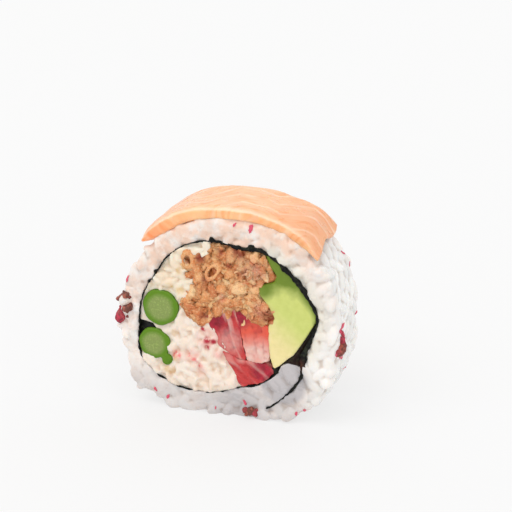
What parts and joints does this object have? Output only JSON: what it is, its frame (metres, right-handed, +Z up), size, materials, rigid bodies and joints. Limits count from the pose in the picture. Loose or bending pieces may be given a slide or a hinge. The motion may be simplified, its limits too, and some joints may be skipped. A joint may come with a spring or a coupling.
{
  "type": "uramaki roll",
  "caption": "Thick slice of inside-out sushi roll resting on its rice: rice outside, seaweed spiral, fish slice draped on top and mixed fillings through it.",
  "frame": {"origin": "middle of the flat rice face that the roll rests on, halfway between the two cut faces", "axes": "+Z up to the salmon, Y along the roll with the shown cut face at -Y, +X to the side where the avocado lies"},
  "size_m": [0.0522, 0.0204, 0.0489],
  "materials": {
    "rice": "moist translucent grains",
    "nori": "dark rough seaweed",
    "salmon": "moist raw fish with pale fat lines",
    "asparagus": "cooked green stalk, cut across",
    "avocado": "buttery flesh, green to pale yellow",
    "strawberry": "wet red berry flesh",
    "onion": "crisp golden brown flakes",
    "crab": "shredded crab in mayonnaise"
  },
  "bodies": {
    "root": {"rice": "rice", "nori": "nori", "salmon": "salmon", "asparagus_upper": "asparagus", "asparagus_lower": "asparagus", "avocado": "avocado", "strawberry_left": "strawberry", "strawberry_right": "strawberry", "strawberry_lower": "strawberry", "crispy_onion": "onion", "crab_salad": "crab"}
  },
  "joints": []
}
